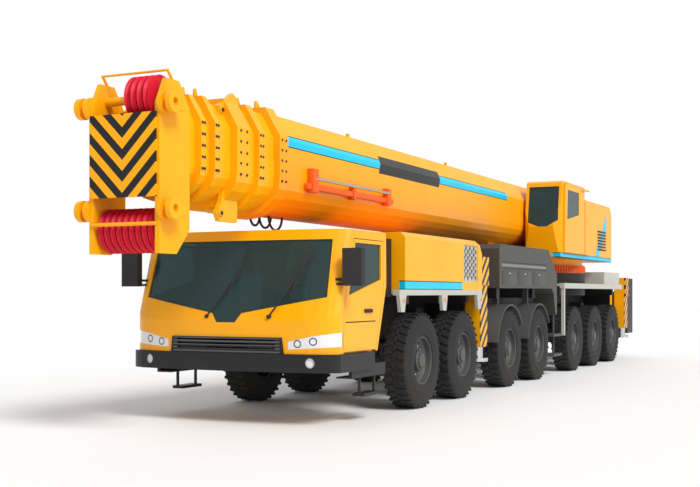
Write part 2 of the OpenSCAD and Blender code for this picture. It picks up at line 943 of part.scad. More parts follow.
module boom_base() {
    color(yellow) {
        difference() {
            union() {
                boom_tube(-6700, base_front_x - 200, 0, boom_wall);
                boom_tube(base_front_x - 220, base_front_x, -60, boom_step - gap);
                along(-6720, -6680)
                    boom_outline(0);
                both()
                    across(360, 430)
                        polygon([[-6690, 2950], [-6690, boom_top_z - 90], [foot_x, foot_z + 230],
                            [foot_x, foot_z - 230]]);
                both()
                    rod_y([foot_x, 300, foot_z], 230, 230);
                for (x = [4730, 650])
                    both()
                        box_of([x - 30, 200, boom_top_z - 8], [x + 30, 240, boom_top_z + 90]);
            }
            rod_y([foot_x, -700, foot_z], foot_pin_r + 0.3, 1400);
        }
        both()
            difference() {
                across(luff_rod_r + 8, luff_rod_r + 68)
                    polygon([[luff_eye[0] - 250, boom_bottom_z + 60],
                        [luff_eye[0] + 250, boom_bottom_z + 60],
                        [luff_eye[0] + 120, luff_eye[1] - 110], [luff_eye[0] - 120, luff_eye[1] - 110]]);
                along(luff_eye[0] - 300, luff_eye[0] + 300)
                    boom_outline(-gap);
                rod_y([luff_eye[0], 0, luff_eye[1]], 60, 300);
            }
    }
}

module boom_section(i, collar_x, thick, high) {
    d = (i - 1) * boom_step;
    color(yellow) {
        boom_tube(-6400 + 60 * i, collar_x - thick + 10, d, d + boom_wall);
        boom_tube(collar_x - thick, collar_x, d - high, d + boom_step - gap);
    }
}

module boom_section_2() {
    boom_section(2, collar_2_x, 130, 50);
}

module boom_section_3() {
    boom_section(3, collar_3_x, 300, 70);
    color(yellow)
        both()
            difference() {
                union() {
                    across(340, 400)
                        polygon([[collar_3_x - 290, boom_top_z - 250], [collar_3_x - 290, boom_top_z + 60],
                            [collar_3_x - 190, boom_top_z + 110], [collar_3_x - 60, boom_top_z + 20],
                            [collar_3_x + 120, boom_top_z - 80], [collar_3_x + 120, boom_top_z - 190],
                            [collar_3_x - 5, boom_top_z - 280]]);
                    across(340, 400)
                        polygon([[collar_3_x - 290, boom_bottom_z + 300],
                            [collar_3_x - 290, boom_bottom_z - 160],
                            [collar_3_x + 100, boom_bottom_z - 160], [collar_3_x + 160, boom_bottom_z - 60],
                            [collar_3_x + 60, boom_bottom_z + 70], [collar_3_x - 5, boom_bottom_z + 300]]);
                }
                boom_clear(3);
            }
}

// Room for the sections nested inside section i
module boom_clear(i) {
    along(5000, 9500)
        boom_outline(i * boom_step - gap);
}

module boom_section_4() {
    boom_section(4, collar_4_x, 100, 60);
}

module boom_section_5() {
    boom_section(5, collar_5_x, 100, 60);
}

module boom_head() {
    d = 5 * boom_step;
    ear_x = head_front_x - 60;
    root_y = sheave_y + 30 + gap;
    color(yellow) {
        boom_tube(-6040, head_x + 30, d, d + boom_wall);
        both()
            across(sheave_y - 30, sheave_y + 30)
                polygon([[head_x, 2350], [head_x, 3700], [head_x + 200, 3980], [head_x + 430, 3980],
                    [head_front_x, 3700], [head_front_x, 2080], [head_x + 250, 2080]]);
        along(head_x, head_x + 60)
            difference() {
                boom_outline(d - 20);
                boom_outline(d + 150);
            }
        box_of([head_front_x, -sheave_y, 2690], [head_front_x + 30, sheave_y, 3600]);
        rod_y([head_x + 300, -sheave_y, 2340], 60, 2 * sheave_y);
        rod_y([head_x + 330, -sheave_y, 3790], 50, 2 * sheave_y);
        both()
            for (z = [2560, 3700])
                difference() {
                    union() {
                        rod_y([ear_x, root_y, z], 120, 50);
                        rod_y([ear_x, sheave_y + 140, z], 120, 60);
                        box_of([ear_x - 180, root_y, z - 80], [ear_x - 70, sheave_y + 200, z + 80]);
                    }
                    rod_y([ear_x, sheave_y, z], ear_pin_r, 400);
                }
    }
}

module sheave(r, bore) {
    rotate_extrude($fn = 96)
        polygon([[bore, -32], [r, -32], [r - 30, -8], [r - 30, 8], [r, 32], [bore, 32]]);
}

module lower_sheaves() {
    color(red)
        translate([head_x + 300, 0, 2340])
            rotate([-90, 0, 0]) {
                for (i = [-4:4])
                    translate([0, 0, i * 84])
                        sheave(sheave_r - 10, 60.3);
                translate([0, 0, -360])
                    difference() {
                        cylinder(r = 110, h = 720);
                        translate([0, 0, -10])
                            cylinder(r = 60.3, h = 740);
                    }
            }
}

module upper_sheave() {
    color(red)
        translate([head_x + 330, 0, 3790])
            rotate([-90, 0, 0]) {
                for (i = [0:3])
                    translate([0, 0, i * 84 + 40])
                        sheave(sheave_r - 10, 50.3);
                translate([0, 0, 20])
                    difference() {
                        cylinder(r = 100, h = 300);
                        translate([0, 0, -10])
                            cylinder(r = 50.3, h = 340);
                    }
            }
}

// Luffing cylinder

module luff_barrel() {
    color(yellow)
        difference() {
            union() {
                rod_x([luff_foot[0] + 100, 0, luff_foot[1]], luff_r, 2950);
                rod_y([luff_foot[0], -luff_r, luff_foot[1]], 150, 2 * luff_r);
            }
            rod_x([luff_foot[0] + 350, 0, luff_foot[1]], luff_rod_r + 0.3, 3000);
            rod_y([luff_foot[0], -300, luff_foot[1]], 70.3, 600);
        }
}

module luff_rod() {
    color(steel)
        difference() {
            union() {
                rod_x([luff_foot[0] + 400, 0, luff_foot[1]], luff_rod_r, luff_eye[0] - luff_foot[0] - 500);
                rod_y([luff_eye[0], -95, luff_eye[1]], 125, 190);
            }
            rod_y([luff_eye[0], -300, luff_eye[1]], 60, 600);
        }
}

module cab_door_left() {
    cab_door(1);
}

module cab_door_right() {
    cab_door(-1);
}

module cab_door_glass_left() {
    cab_door_glass(1);
}

module cab_door_glass_right() {
    cab_door_glass(-1);
}

module knuckle_1_left() {
    knuckle(1, 1);
}

module knuckle_1_right() {
    knuckle(1, -1);
}

module knuckle_2_left() {
    knuckle(2, 1);
}

module knuckle_2_right() {
    knuckle(2, -1);
}

module wheel_1_left() {
    wheel(1, 1);
}

module wheel_1_right() {
    wheel(1, -1);
}

module wheel_2_left() {
    wheel(2, 1);
}

module wheel_2_right() {
    wheel(2, -1);
}

module wheel_3_left() {
    wheel(3, 1);
}

module wheel_3_right() {
    wheel(3, -1);
}

module wheel_4_left() {
    wheel(4, 1);
}

module wheel_4_right() {
    wheel(4, -1);
}

module wheel_5_left() {
    wheel(5, 1);
}

module wheel_5_right() {
    wheel(5, -1);
}

module wheel_6_left() {
    wheel(6, 1);
}

module wheel_6_right() {
    wheel(6, -1);
}

module wheel_7_left() {
    wheel(7, 1);
}

module wheel_7_right() {
    wheel(7, -1);
}

module beam_front_left() {
    outrigger_beam(front_left_x, 1, 2250);
}

module beam_front_right() {
    outrigger_beam(front_right_x, -1, 2250);
}

module beam_rear_left() {
    outrigger_beam(rear_left_x, 1, 2040);
}

module beam_rear_right() {
    outrigger_beam(rear_right_x, -1, 2040);
}

module jack_front_left() {
    outrigger_jack(front_left_x, 1);
}

module jack_front_right() {
    outrigger_jack(front_right_x, -1);
}

module jack_rear_left() {
    outrigger_jack(rear_left_x, 1);
}

module jack_rear_right() {
    outrigger_jack(rear_right_x, -1);
}

chassis_frame();
axle_beams();
engine_block();
cab_shell();
cab_glass();
cab_interior();
front_bumper();
lamps();
mirrors();
engine_hood();
decks_and_fenders();
side_panels();
slew_ring();
cab_door_left();
cab_door_right();
cab_door_glass_left();
cab_door_glass_right();
knuckle_1_left();
knuckle_1_right();
knuckle_2_left();
knuckle_2_right();
wheel_1_left();
wheel_1_right();
wheel_2_left();
wheel_2_right();
wheel_3_left();
wheel_3_right();
wheel_4_left();
wheel_4_right();
wheel_5_left();
wheel_5_right();
wheel_6_left();
wheel_6_right();
wheel_7_left();
wheel_7_right();
beam_front_left();
beam_front_right();
beam_rear_left();
beam_rear_right();
jack_front_left();
jack_front_right();
jack_rear_left();
jack_rear_right();
turntable();
rear_hood();
operator_cab();
operator_glass();
operator_door();
operator_door_glass();
operator_seat();
boom_base();
boom_section_2();
boom_section_3();
boom_section_4();
boom_section_5();
boom_head();
lower_sheaves();
upper_sheave();
luff_barrel();
luff_rod();
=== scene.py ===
import math

import bpy
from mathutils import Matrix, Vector


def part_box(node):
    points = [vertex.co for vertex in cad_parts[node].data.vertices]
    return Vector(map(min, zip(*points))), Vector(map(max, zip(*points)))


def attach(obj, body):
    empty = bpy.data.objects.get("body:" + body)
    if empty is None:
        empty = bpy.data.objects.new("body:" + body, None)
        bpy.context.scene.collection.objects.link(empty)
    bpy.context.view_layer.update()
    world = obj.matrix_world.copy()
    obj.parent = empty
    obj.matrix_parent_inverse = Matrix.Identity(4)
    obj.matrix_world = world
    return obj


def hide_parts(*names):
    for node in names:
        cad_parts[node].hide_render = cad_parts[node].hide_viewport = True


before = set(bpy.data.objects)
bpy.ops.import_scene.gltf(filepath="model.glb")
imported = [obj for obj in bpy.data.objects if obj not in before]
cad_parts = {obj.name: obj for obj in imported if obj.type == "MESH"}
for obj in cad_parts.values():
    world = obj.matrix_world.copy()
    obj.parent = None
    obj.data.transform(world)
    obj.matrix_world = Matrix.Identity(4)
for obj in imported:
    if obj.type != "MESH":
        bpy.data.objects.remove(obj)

bl_info = {
    "name": "Mobile crane looks",
    "version": (1, 0, 0),
    "blender": (4, 5, 0),
    "location": "View3D > Sidebar > Crane",
    "description": "Paints a seven-axle mobile crane and adds its wheels, trim and studio",
    "category": "Object",
}

SIDES = (("left", 1), ("right", -1))
GLASS_NODES = (
    "cab_glass", "cab_door_glass_left", "cab_door_glass_right", "operator_glass", "operator_door_glass",
)

# Places on the crane in metres
AXLES = (4.85, 3.15, 0.75, -1.05, -3.8, -5.6, -7.4)
WHEEL_MIDDLE = 1.305
RING_CENTRE = (-5.4, 0, 2.2)
BOOM_FLANK = 0.56
BOOM_BELLY = 2.672
STRIPE_HEIGHT = 3.6
HEAD_PLATE_FRONT = 9.855
LUFF_EYE_X = -2.1
LUFF_EYE_Z = 2.48
LUFF_LUG_FACE = 0.178
COLLAR_DEPTHS = {
    "boom_base": 0.22, "boom_section_2": 0.13, "boom_section_3": 0.3, "boom_section_4": 0.1,
    "boom_section_5": 0.1,
}
BASE_COLLAR_TOP = 4.0
COLLAR_LUG_REACH = 0.16
WINDSCREEN_LEAN = math.tan(math.radians(17.5))

# Studio
CAMERA_PLACE = (19.67, 7.48, 1.65)
CAMERA_AIM = (-0.9003, -0.4352, 0.0)
CAMERA_LENS = 57.2
CAMERA_RISE = 0.071
STUDIO_LIGHTS = (
    ("key", (0.8, 0.0, 2.6), 2.3, 20),
    ("side", (1.15, 0.0, 3.0), 0.7, 60),
    ("rear", (0.9, 0.0, -0.9), 0.4, 60),
)


def colour_property(name, description, default):
    """A colour setting with its default."""
    return bpy.props.FloatVectorProperty(
        name=name, description=description, default=default, size=4, min=0.0, max=1.0, subtype="COLOR"
    )


def length_property(name, description, default):
    """A length setting with its default in metres."""
    return bpy.props.FloatProperty(
        name=name, description=description, default=default, min=0.0, unit="LENGTH"
    )


class CraneColours(bpy.types.PropertyGroup):
    """Colours of the crane's finishes"""

    body: colour_property("Body", "Gloss paint of the cabs, hoods and boom", (1.0, 0.43, 0.001, 1.0))
    # The low body colour is painted shade: the deeper orange low on the boom stands in for the shade on its
    # lower flanks, not a second paint.
    body_low: colour_property("Low body", "Deeper tone low on the boom", (0.95, 0.29, 0.001, 1.0))
    stripe: colour_property("Stripe", "Bright stripe along the boom and hoods", (0.0, 0.56, 0.84, 1.0))
    dark: colour_property("Dark", "Frame, bumper and stripe edges", (0.012, 0.012, 0.014, 1.0))
    panel: colour_property("Panel", "Grey boxes along the carrier", (0.062, 0.062, 0.056, 1.0))
    rail: colour_property("Rail", "Pale decks, rails and wheel arcs", (0.5, 0.5, 0.45, 1.0))
    ring: colour_property("Ring", "Slewing ring and the boom's side bracket", (0.8, 0.12, 0.012, 1.0))
    sheave: colour_property("Sheave", "Rope sheaves", (0.7, 0.01, 0.035, 1.0))
    tyre: colour_property("Tyre", "Rubber", (0.018, 0.018, 0.019, 1.0))
    rim: colour_property("Rim", "Wheel discs", (0.085, 0.087, 0.09, 1.0))
    glass: colour_property("Glass", "Tinted windows", (0.1, 0.2, 0.21, 1.0))


class CraneSizes(bpy.types.PropertyGroup):
    """Sizes of the added pieces"""

    tyre_radius: length_property("Tyre radius", "Outer radius over the tread", 0.685)
    tyre_half: length_property("Tyre half width", "Half the width of a tyre", 0.195)
    rim_radius: length_property("Rim radius", "Radius where the tyre meets the rim", 0.345)
    lugs: bpy.props.IntProperty(name="Lugs", description="Tread lugs in a row", default=34, min=8)
    rim_bolts: bpy.props.IntProperty(name="Rim bolts", description="Bolts round the hub", default=12, min=4)
    ring_teeth: bpy.props.IntProperty(
        name="Ring teeth", description="Teeth of the slewing ring", default=110, min=12
    )
    bolt_radius: length_property("Bolt radius", "Bolts on the boom collars", 0.017)


# Mesh helpers


def clear_selection():
    """Leaves edit mode and deselects everything."""
    if bpy.context.object and bpy.context.object.mode != "OBJECT":
        bpy.ops.object.mode_set(mode="OBJECT")
    bpy.ops.object.select_all(action="DESELECT")


def open_mesh():
    """Enters edit mode on the active object with all of it selected."""
    bpy.ops.object.transform_apply(location=True, rotation=True, scale=True)
    bpy.ops.object.mode_set(mode="EDIT")
    bpy.ops.mesh.select_all(action="SELECT")


def close_mesh(material):
    """Tidies the edited mesh, gives it a material and returns the object."""
    bpy.ops.mesh.select_all(action="SELECT")
    bpy.ops.mesh.remove_doubles(threshold=0.00005)
    bpy.ops.mesh.normals_make_consistent(inside=False)
    bpy.ops.object.mode_set(mode="OBJECT")
    made = bpy.context.object
    made.data.materials.clear()
    made.data.materials.append(material)
    bpy.ops.object.shade_smooth_by_angle(angle=math.radians(32))
    return made


def lathe(profile, steps, material, closed=False):
    """Turns a line of (radius, y) points about the Y axis."""
    clear_selection()
    radius, level = profile[0]
    bpy.ops.mesh.primitive_circle_add(
        vertices=steps, radius=radius, location=(0, level, 0), rotation=(math.pi / 2, 0, 0)
    )
    open_mesh()
    for r, y in profile[1:]:
        bpy.ops.mesh.extrude_edges_move(TRANSFORM_OT_translate={"value": (0, y - level, 0)})
        bpy.ops.transform.resize(value=(r / radius, 1, r / radius), center_override=(0, y, 0))
        radius, level = r, y
    if not closed:
        bpy.ops.mesh.edge_face_add()
    return close_mesh(material)


def block(low, high, bevel, material, turn=None, copies=None):
    """A bevelled bar between two corners, turned about a point and copied round an axis."""
    clear_selection()
    low, high = Vector(low), Vector(high)
    bpy.ops.mesh.primitive_cube_add(size=1, location=(low + high) / 2, scale=high - low)
    open_mesh()
    bpy.ops.mesh.bevel(offset=bevel, segments=2, affect="EDGES")
    bpy.ops.mesh.select_all(action="SELECT")
    if turn:
        angle, axis, centre = turn
        bpy.ops.transform.rotate(value=angle, orient_axis=axis, center_override=centre)
    if copies:
        ring(*copies)
    return close_mesh(material)


def ring(count, centre, axis):
    """Copies the selected mesh evenly round an axis."""
    bpy.ops.mesh.spin(
        steps=count - 1, dupli=True, angle=2 * math.pi * (count - 1) / count, center=centre, axis=axis
    )


def rod(start, end, radius, material, sides=16, copies=None):
    """A round or hexagonal bar with chamfered ends."""
    clear_selection()
    start, end = Vector(start), Vector(end)
    turn = (end - start).to_track_quat("Z", "Y").to_euler()
    bpy.ops.mesh.primitive_cylinder_add(
        vertices=sides, radius=radius, depth=(end - start).length, location=(start + end) / 2, rotation=turn
    )
    open_mesh()
    bpy.ops.mesh.bevel(offset=radius * 0.16, segments=1, affect="EDGES")
    bpy.ops.mesh.select_all(action="SELECT")
    if copies:
        ring(*copies)
    return close_mesh(material)


def side_plate(outline, near, far, bevel, material):
    """A flat plate with a convex (x, z) outline, standing between two Y places."""
    clear_selection()
    middle = sum((Vector(p) for p in outline), Vector((0, 0))) / len(outline)
    reach = 2 * max((Vector(p) - middle).length for p in outline)
    bpy.ops.mesh.primitive_plane_add(
        size=2 * reach, location=(middle.x, near, middle.y), rotation=(math.pi / 2, 0, 0)
    )
    open_mesh()
    for p, q in zip(outline, outline[1:] + outline[:1]):
        out = Vector((q[1] - p[1], p[0] - q[0]))
        if out.dot(Vector(p) - middle) < 0:
            out = -out
        bpy.ops.mesh.select_all(action="SELECT")
        bpy.ops.mesh.bisect(plane_co=(p[0], near, p[1]), plane_no=(out.x, 0, out.y), clear_outer=True)
    bpy.ops.mesh.select_all(action="SELECT")
    bpy.ops.mesh.extrude_region_move(TRANSFORM_OT_translate={"value": (0, far - near, 0)})
    bpy.ops.mesh.select_all(action="SELECT")
    bpy.ops.mesh.bevel(offset=bevel, segments=2, affect="EDGES")
    return close_mesh(material)


def hanging_loop(centre, radius, thickness, material):
    """The lower half of a hose loop."""
    clear_selection()
    bpy.ops.mesh.primitive_torus_add(
        major_radius=radius, minor_radius=thickness, major_segments=40, minor_segments=12,
        location=centre, rotation=(math.pi / 2, 0, 0),
    )
    open_mesh()
    bpy.ops.mesh.bisect(plane_co=centre, plane_no=(0, 0, 1), clear_outer=True, use_fill=True)
    return close_mesh(material)


def merged(pieces):
    """Selects meshes and joins them into one object."""
    clear_selection()
    for piece in pieces:
        piece.select_set(True)
    bpy.context.view_layer.objects.active = pieces[0]
    if len(pieces) > 1:
        bpy.ops.object.join()
    return bpy.context.object


def joined(pieces, name, body):
    """Joins meshes into one named piece that rides a body."""
    made = merged(pieces)
    made.name = name
    made.data.name = name
    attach(made, body)
    return made


# Shader helpers


def feed(tree, socket, value):
    """Links a socket to a value's socket or sets it."""
    if isinstance(value, bpy.types.NodeSocket):
        tree.links.new(value, socket)
    else:
        socket.default_value = value


def calc(tree, operation, a, b=0.0, c=0.0):
    """A math node's result."""
    node = tree.nodes.new("ShaderNodeMath")
    node.operation = operation
    for socket, value in zip(node.inputs, (a, b, c)):
        feed(tree, socket, value)
    return node.outputs[0]


def blend_colour(tree, share, below, above):
    """The colour between two, by a mask."""
    node = tree.nodes.new("ShaderNodeMix")
    node.data_type = "RGBA"
    for socket, value in zip((node.inputs[0], node.inputs[6], node.inputs[7]), (share, below, above)):
        feed(tree, socket, value)
    return node.outputs[2]


def all_of(tree, *masks):
    """The product of masks."""
    result = masks[0]
    for mask in masks[1:]:
        result = calc(tree, "MULTIPLY", result, mask)
    return result


def between(tree, value, low, high):
    """A mask of values from low to high."""
    return calc(tree, "COMPARE", value, (low + high) / 2, (high - low) / 2)


def coordinates(tree):
    """The object coordinates and their three parts."""
    place = tree.nodes.new("ShaderNodeTexCoord").outputs["Object"]
    parts = tree.nodes.new("ShaderNodeSeparateXYZ")
    tree.links.new(place, parts.inputs[0])
    return place, parts.outputs[0], parts.outputs[1], parts.outputs[2]


def wear_group():
    """The shared group that varies tone and gloss and lays dust low down."""
    found = bpy.data.node_groups.get("surface_wear")
    if found:
        return found
    tree = bpy.data.node_groups.new("surface_wear", "ShaderNodeTree")
    for name, kind in (
        ("Colour", "NodeSocketColor"), ("Place", "NodeSocketVector"), ("Gloss", "NodeSocketFloat"),
        ("Dust", "NodeSocketFloat"), ("Grain", "NodeSocketFloat"),
    ):
        tree.interface.new_socket(name, in_out="INPUT", socket_type=kind)
    for name, kind in (
        ("Colour", "NodeSocketColor"), ("Roughness", "NodeSocketFloat"), ("Height", "NodeSocketFloat"),
    ):
        tree.interface.new_socket(name, in_out="OUTPUT", socket_type=kind)
    given = tree.nodes.new("NodeGroupInput").outputs
    result = tree.nodes.new("NodeGroupOutput").inputs
    broad = tree.nodes.new("ShaderNodeTexNoise")
    broad.inputs["Scale"].default_value = 1.3
    broad.inputs["Detail"].default_value = 5.0
    fine = tree.nodes.new("ShaderNodeTexNoise")
    fine.inputs["Detail"].default_value = 3.0
    parts = tree.nodes.new("ShaderNodeSeparateXYZ")
    for socket in (broad.inputs["Vector"], fine.inputs["Vector"], parts.inputs[0]):
        tree.links.new(given["Place"], socket)
    tree.links.new(given["Grain"], fine.inputs["Scale"])
    tone = calc(tree, "MULTIPLY_ADD", broad.outputs[0], 0.22, -0.06)
    shaded = blend_colour(tree, tone, given["Colour"], (0.0, 0.0, 0.0, 1.0))
    low = calc(tree, "SUBTRACT", 1.0, calc(tree, "DIVIDE", parts.outputs[2], 1.5))
    dust = all_of(tree, calc(tree, "MAXIMUM", low, 0.1), given["Dust"], broad.outputs[0])
    tree.links.new(blend_colour(tree, dust, shaded, (0.3, 0.27, 0.22, 1.0)), result["Colour"])
    gloss = calc(tree, "MULTIPLY_ADD", broad.outputs[0], 0.12, given["Gloss"])
    tree.links.new(calc(tree, "ADD", gloss, calc(tree, "MULTIPLY", dust, 0.4)), result["Roughness"])
    tree.links.new(fine.outputs[0], result["Height"])
    return tree


def surface(name, colour, gloss, metallic=0.0, coat=0.0, dust=0.1, grain=90.0, bump=0.02, marks=None):
    """A worn material; marks draws on the colour from the object coordinates."""
    material = bpy.data.materials.new(name)
    material.use_nodes = True
    tree = material.node_tree
    shader = tree.nodes["Principled BSDF"]
    place, x, y, z = coordinates(tree)
    wear = tree.nodes.new("ShaderNodeGroup")
    wear.node_tree = wear_group()
    shown = marks(tree, colour, x, y, z) if marks else colour
    for socket, value in (
        ("Colour", shown), ("Place", place), ("Gloss", gloss), ("Dust", dust), ("Grain", grain),
    ):
        feed(tree, wear.inputs[socket], value)
    relief = tree.nodes.new("ShaderNodeBump")
    relief.inputs["Strength"].default_value = bump
    relief.inputs["Distance"].default_value = 0.01
    tree.links.new(wear.outputs["Height"], relief.inputs["Height"])
    tree.links.new(wear.outputs["Colour"], shader.inputs["Base Color"])
    tree.links.new(wear.outputs["Roughness"], shader.inputs["Roughness"])
    tree.links.new(relief.outputs[0], shader.inputs["Normal"])
    shader.inputs["Metallic"].default_value = metallic
    shader.inputs["Specular IOR Level"].default_value = 0.25
    shader.inputs["Coat Weight"].default_value = coat
    shader.inputs["Coat Roughness"].default_value = 0.08
    return material


def glass_material(name, colour):
    """Tinted window glass."""
    material = bpy.data.materials.new(name)
    material.use_nodes = True
    shader = material.node_tree.nodes["Principled BSDF"]
    shader.inputs["Base Color"].default_value = colour
    shader.inputs["Roughness"].default_value = 0.02
    shader.inputs["Transmission Weight"].default_value = 0.8
    shader.inputs["IOR"].default_value = 1.3
    return material


def edged_stripe(tree, base, height, half, where, stripe, dark):
    """A stripe with thin dark edges, by height above its centre line."""
    away = calc(tree, "ABSOLUTE", height)
    outer = all_of(tree, calc(tree, "LESS_THAN", away, half + 0.014), where)
    inner = all_of(tree, calc(tree, "LESS_THAN", away, half), where)
    return blend_colour(tree, inner, blend_colour(tree, outer, base, dark), stripe)


def colours():
    """The scene's crane colours as plain tuples by name."""
    group = bpy.context.scene.crane_colours
    return {name: tuple(getattr(group, name)) for name in CraneColours.__annotations__}


def boom_marks(tree, base, x, y, z):
    """Painted shade deepening the orange low down, the long stripe and the bare dark field on the flanks."""
    c = colours()
    # Painted shade: the orange deepens towards the bottom of the boom, below z = 3.7 m.
    low = calc(tree, "MULTIPLY", calc(tree, "SUBTRACT", 3.7, z), 0.8)
    low = calc(tree, "MINIMUM", calc(tree, "MAXIMUM", low, 0.0), 1.0)
    shade_toned = blend_colour(tree, low, base, c["body_low"])
    flank = calc(tree, "GREATER_THAN", calc(tree, "ABSOLUTE", y), 0.45)
    span = all_of(tree, flank, between(tree, x, -1.95, 7.25))
    height = calc(tree, "SUBTRACT", z, STRIPE_HEIGHT)
    striped = edged_stripe(tree, shade_toned, height, 0.066, span, c["stripe"], c["dark"])
    run = calc(tree, "MULTIPLY_ADD", height, 0.4, x)
    plate = all_of(tree, flank, between(tree, run, 1.8, 4.3), between(tree, height, -0.14, 0.14))
    return blend_colour(tree, plate, striped, c["dark"])


def head_marks(tree, base, x, y, z):
    """Chevrons on the head's front plate."""
    rise = calc(tree, "SUBTRACT", z, calc(tree, "ABSOLUTE", y))
    dark = calc(tree, "LESS_THAN", calc(tree, "FRACT", calc(tree, "MULTIPLY", rise, 4.2)), 0.5)
    inside = calc(tree, "LESS_THAN", calc(tree, "ABSOLUTE", y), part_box("boom_head")[1].y - 0.195)
    front = all_of(tree, dark, inside, calc(tree, "GREATER_THAN", x, HEAD_PLATE_FRONT))
    return blend_colour(tree, front, base, colours()["dark"])


def jack_marks(tree, base, x, y, z):
    """Slanted stripes on the outer plates of the outriggers."""
    run = calc(tree, "MULTIPLY", calc(tree, "ADD", x, z), 4.5)
    dark = calc(tree, "LESS_THAN", calc(tree, "FRACT", run), 0.5)
    outer = calc(tree, "GREATER_THAN", calc(tree, "ABSOLUTE", y), 1.436)
    return blend_colour(tree, all_of(tree, dark, outer), base, colours()["dark"])


def hood_marks(tree, base, x, y, z):
    """The low stripe and the pale mesh of the engine hood."""
    c = colours()
    flank = calc(tree, "GREATER_THAN", calc(tree, "ABSOLUTE", y), 1.4)
    mesh = all_of(tree, flank, between(tree, x, 2.512, 3.168), between(tree, z, 1.832, 2.408))
    meshed = blend_colour(tree, mesh, base, c["rail"])
    span = all_of(tree, flank, between(tree, x, 3.23, 5.6))
    return edged_stripe(tree, meshed, calc(tree, "SUBTRACT", z, 1.762), 0.05, span, c["stripe"], c["dark"])


def turntable_marks(tree, base, x, y, z):
    """The stripe along the edge below the operator's cab."""
    c = colours()
    flank = calc(tree, "GREATER_THAN", calc(tree, "ABSOLUTE", y), 1.2)
    return edged_stripe(tree, base, calc(tree, "SUBTRACT", z, 2.45), 0.036, flank, c["stripe"], c["dark"])


def rear_hood_marks(tree, base, x, y, z):
    """The slanted bright patch on the rear hood."""
    c = colours()
    flank = calc(tree, "GREATER_THAN", calc(tree, "ABSOLUTE", y), 1.33)
    slant = calc(tree, "MULTIPLY_ADD", x, 0.9, calc(tree, "ADD", z, 3.1))
    span = all_of(tree, flank, between(tree, x, -7.2, -5.4))
    return edged_stripe(tree, base, slant, 0.16, span, c["stripe"], c["dark"])


def lamp_marks(tree, base, x, y, z):
    """Round reflectors in the headlamps, orange side markers and red tail lamps."""
    across = calc(tree, "ABSOLUTE", y)
    shown = base
    for middle, height in ((1.0, 1.03), (1.2, 1.06)):
        dy = calc(tree, "POWER", calc(tree, "SUBTRACT", across, middle), 2.0)
        dz = calc(tree, "POWER", calc(tree, "SUBTRACT", z, height), 2.0)
        away = calc(tree, "SQRT", calc(tree, "ADD", dy, dz))
        shown = blend_colour(tree, between(tree, away, 0.034, 0.05), shown, (0.06, 0.065, 0.07, 1.0))
    shown = blend_colour(tree, calc(tree, "LESS_THAN", x, 6.0), shown, (0.85, 0.2, 0.01, 1.0))
    return blend_colour(tree, calc(tree, "LESS_THAN", x, -9.0), shown, (0.45, 0.008, 0.01, 1.0))


def bumper_marks(tree, base, x, y, z):
    """Lighter bars across the grille."""
    bars = calc(tree, "LESS_THAN", calc(tree, "FRACT", calc(tree, "MULTIPLY", z, 24.0)), 0.42)
    middle = calc(tree, "LESS_THAN", calc(tree, "ABSOLUTE", y), 0.78)
    inside = all_of(tree, between(tree, z, 0.915, 1.095), middle)
    return blend_colour(tree, all_of(tree, bars, inside), base, (0.1, 0.1, 0.105, 1.0))


def rail_marks(tree, base, x, y, z):
    """Darker wheel arcs and ladders between the two decks."""
    return blend_colour(tree, between(tree, x, -2.78, 1.96), base, (0.07, 0.075, 0.075, 1.0))


def panel_marks(tree, base, x, y, z):
    """A pale trim line along the boxes."""
    flank = calc(tree, "GREATER_THAN", calc(tree, "ABSOLUTE", y), 1.48)
    line = all_of(tree, flank, between(tree, z, 2.115, 2.165), between(tree, x, -1.5, 1.25))
    return blend_colour(tree, line, base, (0.2, 0.2, 0.19, 1.0))


def crane_materials():
    """Every finish by name, made once."""
    if "crane_body" in bpy.data.materials:
        return {m.name[6:]: m for m in bpy.data.materials if m.name.startswith("crane_")}
    c = colours()
    made = [
        surface("crane_body", c["body"], 0.26, coat=0.15),
        surface("crane_boom", c["body"], 0.28, coat=0.1, marks=boom_marks),
        surface("crane_head", c["body"], 0.28, coat=0.1, marks=head_marks),
        surface("crane_beam", c["body"], 0.3, coat=0.1, marks=jack_marks),
        surface("crane_hood", c["body"], 0.26, coat=0.15, marks=hood_marks),
        surface("crane_turntable", c["body"], 0.28, coat=0.1, marks=turntable_marks),
        surface("crane_rear", c["body"], 0.26, coat=0.15, marks=rear_hood_marks),
        surface("crane_dark", c["dark"], 0.42, dust=0.35),
        surface("crane_bumper", c["dark"], 0.36, marks=bumper_marks),
        surface("crane_panel", c["panel"], 0.4, dust=0.2, marks=panel_marks),
        surface("crane_rail", c["rail"], 0.45, dust=0.2, marks=rail_marks),
        surface("crane_ring", c["ring"], 0.4),
        surface("crane_sheave", c["sheave"], 0.36),
        surface("crane_iron", (0.05, 0.051, 0.053, 1.0), 0.5, metallic=0.4, dust=0.4, bump=0.1),
        surface("crane_trim", (0.03, 0.03, 0.032, 1.0), 0.6, grain=300.0, bump=0.1),
        surface("crane_tyre", c["tyre"], 0.7, dust=0.1, grain=140.0, bump=0.12),
        surface("crane_rim", c["rim"], 0.38, metallic=0.35, dust=0.25),
        surface("crane_bright", (0.6, 0.61, 0.63, 1.0), 0.14, metallic=1.0, dust=0.05),
        surface("crane_lamp", (0.78, 0.8, 0.82, 1.0), 0.06, coat=1.0, dust=0.0, bump=0.0, marks=lamp_marks),
        glass_material("crane_glass", c["glass"]),
    ]
    return {m.name[6:]: m for m in made}


